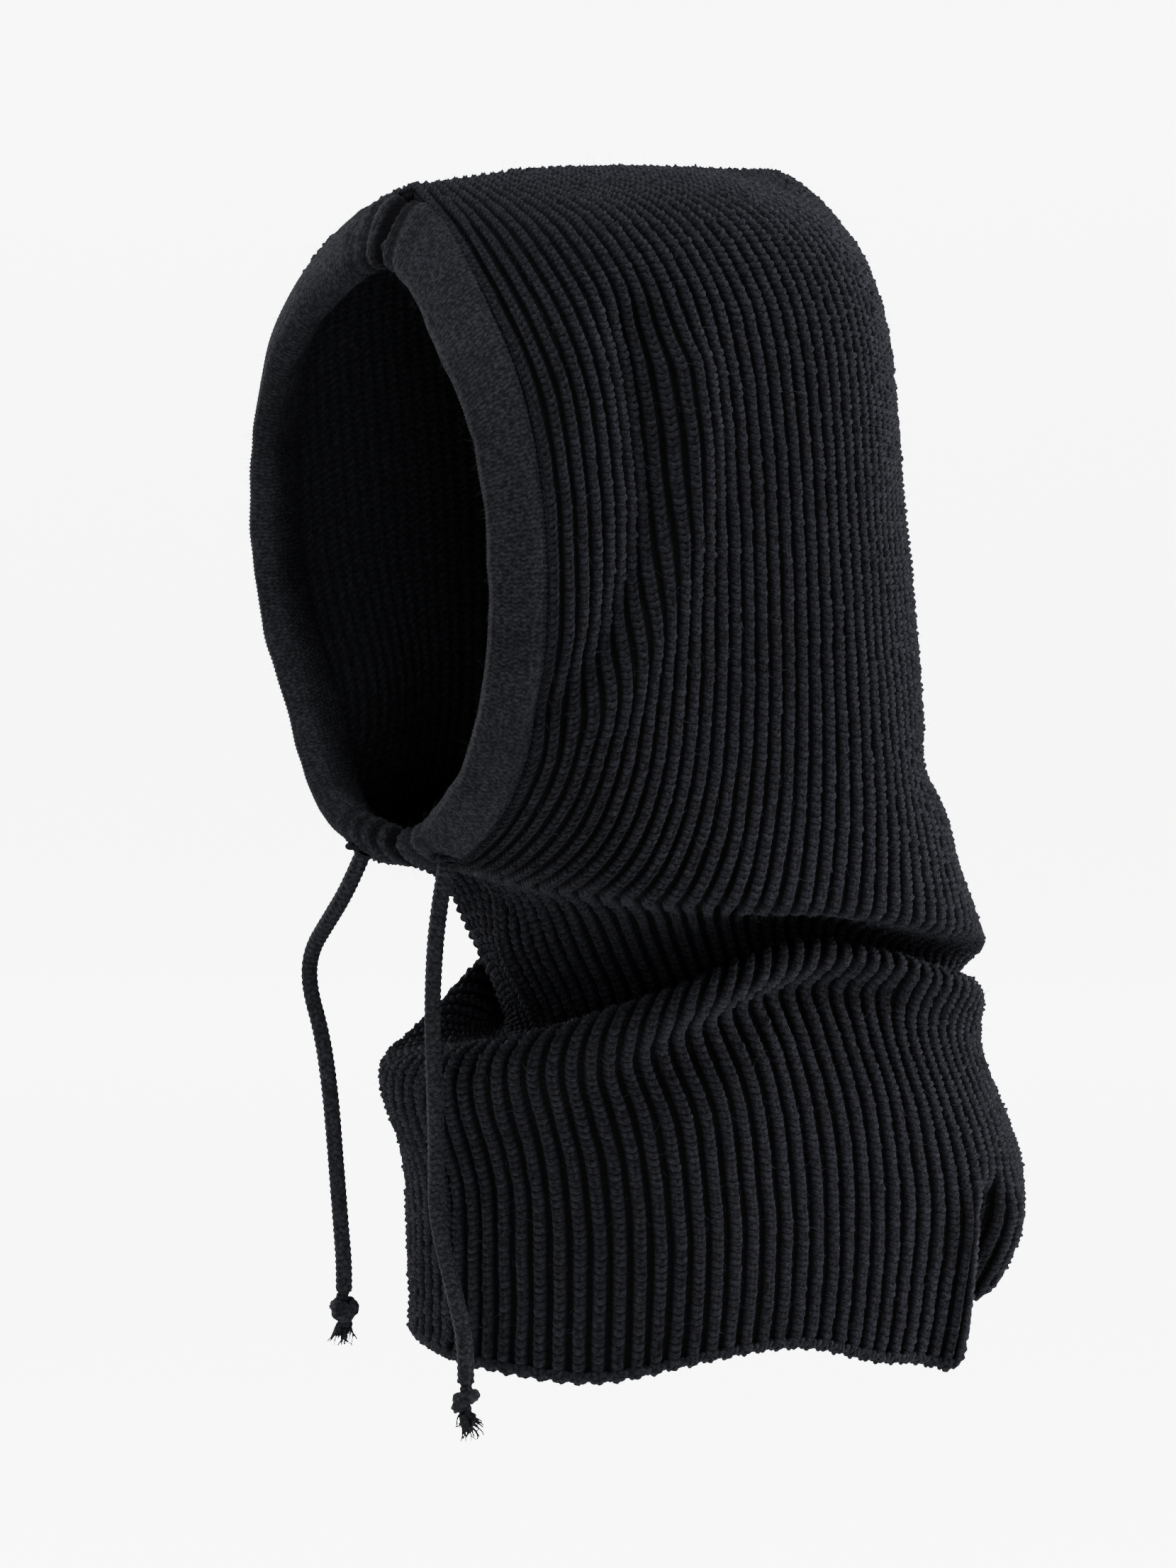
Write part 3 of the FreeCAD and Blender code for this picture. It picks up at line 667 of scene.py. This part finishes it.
# -------------------- the casing round the face
CASING = {
    "thickness": 8.8, "gap": 0.2, "lip": 4.0, "forward": 11.0, "sink": 2.1, "bulge": 1.28, "facing": 9.0,
    "lean_side": 0.12, "lean_crown": 0.17, "lean_chin": 0.08, "middle_z": 2.0,
}  # millimetres; facing is the turned-in edge behind the knit's own
OVER_CORD, UNDER_CORD = 3, 6  # the places of its section with the cord between them
CASING_ROWS = 372  # knit rows round the face
CASING_SAMPLES = 3  # rows of the grid to a knit row
CASING_STITCHES = 24  # stitches round its section
CASING_SECTION = 72
CASING_STITCH_HEIGHT = 0.00046
CASING_WALE_DEPTH = 0.00030
CASING_LUMPS = 0.00055
GATHER_DEPTH = 0.0021
PLEATS = 61  # round the face, if they went all the way


def casing_net():
    """Rings of control places, in millimetres, round the face opening, as in the frame."""
    strip = strip_net()
    last = Strip.greville(list(LEVELS).index(FIRST_CLOSED_LEVEL)) * 0.985
    edges = spline_weights(len(strip), np.linspace(0, last, 9)) @ strip[:, 0]
    middle = np.array([0, 0, CASING["middle_z"]])
    left = []
    for edge in edges:
        lean = CASING["lean_crown"] if edge[2] > middle[2] else CASING["lean_chin"]
        step = np.array([-edge[0] * CASING["lean_side"], -CASING["forward"], (middle[2] - edge[2]) * lean])
        left.append((edge, step))
    for edge, step in (left[0], left[-1]):
        edge[0] = 0
        step[0] = 0
    ring = left + [(edge * MIRRORED, step * MIRRORED) for edge, step in left[-2:0:-1]]
    half = CASING["thickness"] / 2 * CASING["bulge"]
    rings = []
    for k, (edge, step) in enumerate(ring):
        before, after = ring[k - 1][0], ring[(k + 1) % len(ring)][0]
        forward = unit(step)
        out = unit(np.cross(forward, after - before))
        if out @ (edge - middle) < 0:
            out = -out
        edge = edge - (before + after - 2 * edge) / 6  # so that the even cubic passes through the edge
        near, far = CASING["gap"], np.linalg.norm(step) + CASING["lip"]
        third, most = lerp(near, far, 0.30), lerp(near, far, 0.72)
        inside = near - CASING["facing"]
        profile = [
            (near - 0.4, -0.35), (near - 0.6, 0.7), (third, 1.06), (most, 1.06), (far + 0.6, 0.7),
            (far + 0.6, -0.7), (most, -1.06), (third, -1.1), (inside, -1.1), (inside, -0.6),
        ]
        rings.append([edge + forward * way + out * (high * half - CASING["sink"]) for way, high in profile])
    return np.array(rings)


def gathered(around, section):
    """Puckers of the casing: shares of full depth at the forehead and at the chin."""
    crown = np.minimum(around, 1 - around)
    chin = np.abs(around - 0.5)
    wander = 1.5 * np.sin(section * 2 * np.pi + 1) + 2.6 * np.sin(around * 2 * np.pi * 9 + 1.0)
    pleats = 0.5 + 0.5 * np.sin(around * 2 * np.pi * PLEATS + wander)
    pinch = 1.6 * bell(crown, 0.0042) + 1.3 * bell(chin, 0.005)
    return pleats * (0.7 * bell(crown, 0.028) + bell(chin, 0.042)) + pinch


def make_casing(material):
    """The folded band round the face; returns its points and normals."""
    net = casing_net()
    rows = CASING_ROWS * CASING_SAMPLES
    around = np.arange(rows) / rows
    section = np.arange(CASING_SECTION) / CASING_SECTION
    across = ring_weights(net.shape[1], np.linspace(0, 1, 300))
    shares = np.linspace(0, 1, 1500)
    run = along(surface_of(ring_weights(len(net), shares), across, net).mean(axis=1))
    even = ring_weights(len(net), np.interp(around * run[-1], run, shares))
    surface = surface_of(even, across, net)
    grid = drape(np.stack([at_distances(line, section * along(line)[-1]) for line in surface]) * MM)
    normals = normals_of(np.pad(grid, ((2, 2), (2, 2), (0, 0)), "wrap"))[2:-2, 2:-2]
    if ((grid - grid.mean(axis=1, keepdims=True)) * normals).sum() < 0:
        normals = -normals
    wale = section * CASING_STITCHES
    offset = np.abs(wale - np.floor(wale) - 0.5)
    course = around[:, None] * CASING_ROWS + 0.8 * offset
    strand = 0.5 - 0.5 * np.cos(2 * np.pi * course)
    fade = np.minimum(1, np.minimum(np.arange(rows), np.arange(rows)[::-1]) / 12)
    lumps = soft_noise(rows, CASING_SECTION, 90, 9) * fade[:, None]
    height = CASING_STITCH_HEIGHT * (strand - 0.5) - CASING_WALE_DEPTH * bell(offset - 0.5, 0.14)
    height = height + CASING_LUMPS * lumps * np.sin(np.pi * section)
    height = height - GATHER_DEPTH * gathered(around[:, None], section[None, :])
    points = grid + normals * height[..., None]
    corners = grid_corners(rows, CASING_SECTION, True, True)
    i, j = corners[..., 0], corners[..., 1]
    knit = np.stack([j / CASING_SECTION * CASING_STITCHES, i / CASING_SAMPLES], -1)
    bake = np.stack([i / rows, j / CASING_SECTION], -1)
    # painted shade: darker where the casing sinks, in its wale grooves and gathers
    values = np.clip(0.8 + height / 0.0030, 0, 1)
    piece = add_mesh(
        "face_casing_plain_knit", points.reshape(-1, 3), [numbers(corners, rows, CASING_SECTION)],
        material, [("OFBake", [bake]), ("Knit", [knit])], values.ravel())
    belongs(piece, "garment", "face_casing")
    return points, normals


def make_hidden_cord(material):
    """The stretch of drawstring inside the casing, from one eyelet over the crown to the other."""
    net = casing_net()
    middle = (net[:, OVER_CORD] + net[:, UNDER_CORD]) / 2
    line = ring_weights(len(net), np.linspace(0.5, 1.5, 1200)) @ middle
    past_the_eyelets = (line[:, 2] > 0) | (np.abs(line[:, 0]) > 22)
    pile = Pile()
    pile.add_cord(drape(line[past_the_eyelets] * MM), HIDDEN_CORD_RADIUS, 14)
    belongs(pile.mesh("drawstring_in_casing_knitted", material), "garment",
            "drawstring_in_casing")


# -------------------- cords, knots and threads
def frames_along(line):
    """Two directions across the line at each of its points, turning as little as they can."""
    ways = unit(np.gradient(line, axis=0))
    side = unit(np.cross(ways[0], (0, 1, 0) if abs(ways[0][1]) < 0.9 else (1, 0, 0)))
    sides = []
    for way in ways:
        side = unit(side - way * (side @ way))
        sides.append(side)
    sides = np.array(sides)
    return sides, np.cross(ways, sides)


def tube(line, radius, around, relief=None):
    """Grid of points of a round tube; relief(distance, turn) adds to its radius."""
    sides, ups = frames_along(line)
    turn = np.arange(around) / around * 2 * np.pi
    radius = np.broadcast_to(np.asarray(radius, float), len(line))[:, None]
    if relief is not None:
        radius = radius + relief(along(line)[:, None], turn[None, :])
    return line[:, None] + radius[..., None] * (
        sides[:, None] * np.cos(turn)[None, :, None] + ups[:, None] * np.sin(turn)[None, :, None])


class Pile:
    """Several tubes gathered into one mesh."""

    def __init__(self):
        self.points, self.faces, self.knit, self.count = [], {}, {}, 0

    def add_cord(self, points, radius, around, step=LINE_STEP):
        """A length of knitted cord along a line."""
        self.add(tube(spaced(points, step), radius, around, knitted_cord), 1 / CORD_COURSE, CORD_WALES)

    def add(self, grid, length_scale=1 / COURSE_PITCH, wales=1):
        rows, columns = grid.shape[:2]
        corners = grid_corners(rows, columns, False, True)[:, ::-1]
        run = along(grid.mean(axis=1)) * length_scale
        self._faces(numbers(corners, rows, columns) + self.count,
                    np.stack([corners[..., 1] / columns * wales, run[corners[..., 0]]], -1))
        caps = np.stack([np.arange(columns), np.arange(columns)[::-1] + (rows - 1) * columns]) + self.count
        self._faces(caps, np.zeros(caps.shape + (2,)))
        self.points.append(grid.reshape(-1, 3))
        self.count += rows * columns

    def _faces(self, faces, knit):
        size = faces.shape[1]
        self.faces.setdefault(size, []).append(faces)
        self.knit.setdefault(size, []).append(knit)

    def mesh(self, name, material):
        faces = [np.concatenate(group) for group in self.faces.values()]
        knit = [np.concatenate(group) for group in self.knit.values()]
        values = np.full(self.count, YARN_SHADE_VALUE)
        return add_mesh(name, np.concatenate(self.points), faces, material, [("Knit", knit)], values)


def knitted_cord(distance, turn):
    """Relief of a round cord knitted with a few wales."""
    wale = turn / (2 * np.pi) * CORD_WALES + 0.12 * np.sin(distance / 0.011)
    offset = np.abs(wale - np.floor(wale) - 0.5)
    strand = 0.5 - 0.5 * np.cos(2 * np.pi * (distance / CORD_COURSE - 0.9 * offset))
    return CORD_STITCH_HEIGHT * (strand - 0.5) - CORD_WALE_DEPTH * bell(offset - 0.5, 0.16)


def route_line(name, route):
    """Points of the smooth line that has the route as its control points."""
    curve = bpy.data.curves.new(name, "CURVE")
    curve.dimensions = "3D"
    curve.resolution_u = 24
    spline = curve.splines.new("NURBS")
    spline.points.add(len(route) - 1)
    for point, place in zip(spline.points, route):
        point.co = (*place, 1)
    spline.order_u = 3
    spline.use_endpoint_u = True
    holder = add_object(name, curve)
    mesh = bpy.data.meshes.new_from_object(holder)
    line = np.array([v.co for v in mesh.vertices])
    bpy.data.objects.remove(holder)
    bpy.data.meshes.remove(mesh)
    return line


def make_tail(side, material):
    """A free end of the drawstring with its knot and its frayed yarns."""
    first, second = np.array(TAIL_ROUTES[side][:2])
    line = spaced(route_line(f"{side}_tail_route", TAIL_ROUTES[side]), LINE_STEP)
    above = np.arange(TAIL_ABOVE_EXIT, LINE_STEP * 0.8, -LINE_STEP)[:, None]
    line = np.concatenate([line[0] + unit(first - second) * above, line])
    pile = Pile()
    pile.add(tube(line, TAIL_RADIUS, 30, knitted_cord), 1 / CORD_COURSE, CORD_WALES)
    tail = pile.mesh(f"drawstring_tail_{side}_knitted", material)
    knot = make_knot(side, line[-1], material)
    fray = make_fray(side, line[-1], material)
    for piece, stands_for in ((tail, "drawstring_tail"), (knot, "end_knot"), (fray, "frayed_end")):
        belongs(piece, f"{side}_cord_end", f"{stands_for}_{side}")


def make_knot(side, end, material):
    """An overhand knot pulled tight, hanging from the end of the cord."""
    scale = np.array([KNOT_TIGHTNESS if side == "left" else -KNOT_TIGHTNESS, KNOT_TIGHTNESS, 1]) * MM
    pile = Pile()
    pile.add_cord(route_line(f"{side}_knot_route", end + KNOT_ROUTE * scale), KNOT_CORD_RADIUS, 28, 0.0004)
    return pile.mesh(f"end_knot_{side}_tied", material)


def make_fray(side, end, material):
    """Yarn ends that spread out below the knot."""
    lean = 1 if side == "left" else -1
    pile = Pile()
    top = end + np.array([0.0002 * lean, 0.0002, -0.0095])
    share = np.linspace(0, 1, 12)[:, None]
    for _ in range(FRAY_YARNS):
        angle = RANDOM.uniform(0, 2 * np.pi)
        spread = RANDOM.uniform(0.2, 1.0)
        length = RANDOM.uniform(0.004, 0.0092)
        around = np.array([math.cos(angle), math.sin(angle), 0])
        way = unit(around * spread + np.array([0.35 * lean, 0, -1.35]))
        curl = np.array([math.sin(angle * 3), math.cos(angle * 2), 0.3]) * 0.0011
        line = top + around * 0.0013 * spread + way * length * share
        line = line + curl * np.sin(share * math.pi * RANDOM.uniform(1, 2.4))
        line[:, 2] = np.maximum(line[:, 2], end[2] - 0.0188)
        pile.add(tube(line, np.linspace(0.00048, 0.00020, 12) * RANDOM.uniform(0.6, 1.2), 7))
    return pile.mesh(f"frayed_end_{side}_yarn", material)


def edge_line(points, outs):
    """A line and its outward ways, evenly spaced."""
    run = along(points)
    share = np.linspace(0, run[-1], max(4, round(run[-1] / LINE_STEP)))
    ways = np.stack([np.interp(share, run, outs[:, k]) for k in range(3)], -1)
    return at_distances(points, share), unit(ways)


def add_chain(pile, points, outs, lift, width, height, pitch, radius):
    """A three-strand chain along a line; outs point away from the cloth, which it is lifted off."""
    line, outs = edge_line(points, outs)
    line = line + outs * lift
    run = along(line)
    sides = unit(np.cross(unit(np.gradient(line, axis=0)), outs))
    for strand in range(3):
        phase = run / pitch * 2 * np.pi + strand * 2 * np.pi / 3
        across, up = np.sin(phase)[:, None] * width, np.sin(2 * phase)[:, None] * height
        pile.add(tube(line + sides * across + outs * up, radius, 8))


def make_seams(strip, halves, material):
    """The chains of the seams at the back and the throat, beside the casing and along the hem."""
    left, left_normals = halves[0]
    closed = strip.level_rows[FIRST_CLOSED_LEVEL]
    centre_back, throat, casing, hem = Pile(), Pile(), Pile(), Pile()
    ridge = (0.0004, 0.0011, 0.00045, 0.0066, 0.00062)
    add_chain(centre_back, left[4:-6, -1], left_normals[4:-6, -1], *ridge)
    add_chain(throat, left[closed + 14:-6, 0], left_normals[closed + 14:-6, 0], *ridge)
    for grid, normals in halves:
        inward = unit(grid[:closed, 6] - grid[:closed, 0])
        add_chain(casing, grid[:closed, 0] + inward * 0.0012, normals[:closed, 0],
                  -0.0006, 0.0007, 0.0004, 0.0052, 0.00050)
        down = unit(grid[-1] - grid[-5])
        add_chain(hem, grid[-1] - normals[-1] * 0.0016 + down * 0.0006, unit(normals[-1] * 0.55 + down),
                  0, 0.0014, 0.0007, 0.0060, 0.00092)
    for pile, seam, kind in ((centre_back, "centre_back_seam", "chain"), (throat, "throat_seam", "chain"),
                             (casing, "casing_linking_seam", "stitches"), (hem, "hem_bind_off", "chain")):
        belongs(pile.mesh(f"{seam}_{kind}", material), "garment", seam)


def make_eyelet(side, material):
    """A ring of thread worked round the hole where the cord leaves the casing."""
    centre = np.mean(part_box(f"eyelet_{side}"), axis=0)
    around = np.linspace(0, 2 * np.pi, 900)
    ring = np.stack([np.cos(around), np.sin(around), np.zeros_like(around)], -1)
    wraps = around * 34
    radius = 0.0040
    thread = centre + ring * (radius + 0.00072 * np.cos(wraps))[:, None]
    thread[:, 2] += 0.00078 * np.sin(wraps)
    pile = Pile()
    pile.add(tube(thread, 0.00030, 6))
    pile.add(tube(centre + ring[::12] * radius, 0.00062, 8))
    belongs(pile.mesh(f"eyelet_{side}_thread", material), "garment", f"eyelet_{side}")


FUZZ_RINGS, FUZZ_SIDES = 8, 3


def make_fuzz(name, points, normals, count, length, material):
    """Stray curly fibres that stand off the yarn."""
    chosen = RANDOM.choice(points.size // 3, count, replace=False)
    spot, out = (values.reshape(-1, 3)[chosen][:, None] for values in (points, normals))
    one_each = (count, 1, 1)
    way = unit(out * RANDOM.uniform(0.15, 1.0, one_each) + RANDOM.normal(0, 0.8, (count, 1, 3)))
    side = unit(np.cross(way, RANDOM.normal(0, 1, (count, 1, 3))))
    other = np.cross(way, side)
    reach = length * RANDOM.uniform(0.3, 1.3, one_each) ** 1.5
    share = np.linspace(0, 1, FUZZ_RINGS)[None, :, None]
    line = spot + out * 0.0002 + way * reach * share
    line = line + side * reach * RANDOM.uniform(-0.7, 0.7, one_each) * share**2
    line = line + other * reach * RANDOM.uniform(-0.25, 0.25, one_each) * np.sin(share * 5)
    turn = np.arange(FUZZ_SIDES) * 2 * np.pi / FUZZ_SIDES
    radius = np.linspace(0.00007, 0.00003, FUZZ_RINGS)[None, :, None, None]
    grid = line[:, :, None] + radius * (
        side[:, :, None] * np.cos(turn)[:, None] + other[:, :, None] * np.sin(turn)[:, None])
    each = FUZZ_RINGS * FUZZ_SIDES
    starts = np.arange(count)[:, None, None] * each
    walls = numbers(grid_corners(FUZZ_RINGS, FUZZ_SIDES, False, True)[:, ::-1], FUZZ_RINGS, FUZZ_SIDES)
    caps = np.array([[0, 1, 2], [each - 1, each - 2, each - 3]])
    faces = [(walls + starts).reshape(-1, 4), (caps + starts).reshape(-1, 3)]
    knit = [np.zeros(f.shape + (2,)) for f in faces]
    values = np.full(count * each, YARN_SHADE_VALUE)
    piece = add_mesh(name, grid.reshape(-1, 3), faces, material, [("Knit", knit)], values)
    belongs(piece, "garment")


# -------------------- studio
FLOOR_Z = -0.62
CURVE_STARTS, CURVE_RADIUS = 3.6, 0.9
STAGE_HALF_WIDTH = 5.0


def direction(azimuth, elevation):
    """The way from the garment at these angles, in degrees; azimuth 0 is in front of the face."""
    turn, rise = math.radians(azimuth), math.radians(elevation)
    return Vector((math.sin(turn) * math.cos(rise), -math.cos(turn) * math.cos(rise), math.sin(rise)))


def make_stage(name, material, starts, ends):
    """A stretch, in metres behind the garment, of the pale floor that curves up into the backdrop."""
    profile = [(-5.0, 0.0), (1.0, 0.0), (CURVE_STARTS, 0.0)]
    for step in range(1, 13):
        angle = math.radians(7.5 * step)
        way, high = CURVE_RADIUS * math.sin(angle), CURVE_RADIUS * (1 - math.cos(angle))
        profile.append((CURVE_STARTS + way, high))
    profile = (profile + [(CURVE_STARTS + CURVE_RADIUS, 5.0)])[starts:ends]
    away, side = -direction(CAMERA_AZIMUTH, 0), direction(CAMERA_AZIMUTH + 90, 0)
    points = [away * way + side * across + Vector((0, 0, FLOOR_Z + high))
              for way, high in profile for across in (-STAGE_HALF_WIDTH, STAGE_HALF_WIDTH)]
    corners = grid_corners(len(profile), 2)
    add_mesh(name, np.array(points), [numbers(corners, len(profile), 2)], material)


def aim(obj, azimuth, elevation, distance):
    """Place a light or camera round the garment, pointing at it."""
    toward = direction(azimuth, elevation)
    obj.location = CAMERA_TARGET + toward * distance
    obj.rotation_euler = toward.to_track_quat("Z", "Y").to_euler()


def add_light(name, azimuth, elevation, distance, size, power):
    light = bpy.data.lights.new(name, "AREA")
    light.shape = "DISK"
    light.size = size
    light.energy = power
    aim(add_object(name, light), azimuth, elevation, distance)


def make_camera():
    camera = add_object("camera", bpy.data.cameras.new("camera"))
    aim(camera, CAMERA_AZIMUTH, CAMERA_ELEVATION, CAMERA_DISTANCE)
    camera.data.lens = CAMERA_LENS
    camera.data.sensor_width = 36
    bpy.context.scene.camera = camera


def make_world():
    world = bpy.data.worlds.new("studio")
    world.use_nodes = True
    background = world.node_tree.nodes["Background"].inputs
    background["Color"].default_value = (0.94, 0.965, 1.0, 1)
    background["Strength"].default_value = 0.30
    bpy.context.scene.world = world


def main():
    make_camera()
    cord_wool = wool("cord_wool", (0.0080, 0.0083, 0.0100), (0.0290, 0.0296, 0.0350), (0.120, 0.124, 0.142),
                     30.0, 9.0, -0.9)
    for side in TAIL_ROUTES:
        make_tail(side, cord_wool)
    rib_wool = wool("rib_wool", (0.0070, 0.0072, 0.0092), (0.0215, 0.0220, 0.0275), (0.120, 0.122, 0.140),
                    46.0, 22.0, 0.0)
    # the casing is knitted of the same charcoal yarn as the ribs; its paler colours are partly painted
    # highlight, for the light its band and fuzz catch
    casing_wool = wool("casing_wool", (0.0082, 0.0084, 0.0103), (0.0300, 0.0306, 0.0365),
                       (0.135, 0.138, 0.158), 20.0, 14.0, 0.8)
    seam_wool = wool("seam_wool", (0.0065, 0.0068, 0.0085), (0.0200, 0.0206, 0.0255), (0.085, 0.088, 0.102),
                     9.0, 12.0, 0.0)
    # the stray fibres are the same charcoal wool, painted much paler: a painted highlight of the light thin
    # fibres catch
    fuzz_wool = wool("fuzz_wool", (0.040, 0.041, 0.048), (0.110, 0.114, 0.130), (0.26, 0.27, 0.30),
                     9.0, 12.0, 0.0)

    strip = Strip()
    left = strip.grid(STITCH_SLANT)
    closed = np.abs(left[..., 0]) < 1e-7
    left, right = drape(left), drape(left * MIRRORED)
    left_normals, right_normals = normals_of(left), -normals_of(right)
    if left_normals[strip.level_rows["ear"], left.shape[1] // 2, 0] < 0:
        left_normals, right_normals = -left_normals, -right_normals
    join_normals(left_normals, right_normals, closed)
    left_outer = knit_half(strip, left, left_normals, "left", closed, rib_wool)
    right_outer = knit_half(strip, right, right_normals, "right", closed, rib_wool)
    casing, casing_normals = make_casing(casing_wool)
    make_hidden_cord(cord_wool)
    make_seams(strip, ((left, left_normals), (right, right_normals)), seam_wool)
    for side in TAIL_ROUTES:
        make_eyelet(side, seam_wool)
    make_fuzz("stray_fibres_left", left_outer, left_normals, 3600, 0.0034, fuzz_wool)
    make_fuzz("stray_fibres_right", right_outer, right_normals, 2600, 0.0034, fuzz_wool)
    make_fuzz("stray_fibres_casing", casing, casing_normals, 2200, 0.0026, fuzz_wool)

    make_stage("studio_floor", studio_paint("studio_white", (0.86, 0.86, 0.86)), 0, 2)
    make_stage("studio_backdrop", studio_paint("lit_white", (0.86, 0.86, 0.86), glow=6.0), 1, None)
    make_world()
    add_light("key_left", 14, 46, 2.0, 0.9, 27)
    add_light("front", 58, 6, 2.4, 1.0, 20)
    add_light("rim_left", -75, 12, 1.7, 0.9, 42)
    add_light("rim_right", 158, 14, 1.8, 0.6, 100)
    add_light("top", 66, 76, 1.7, 0.6, 42)


main()
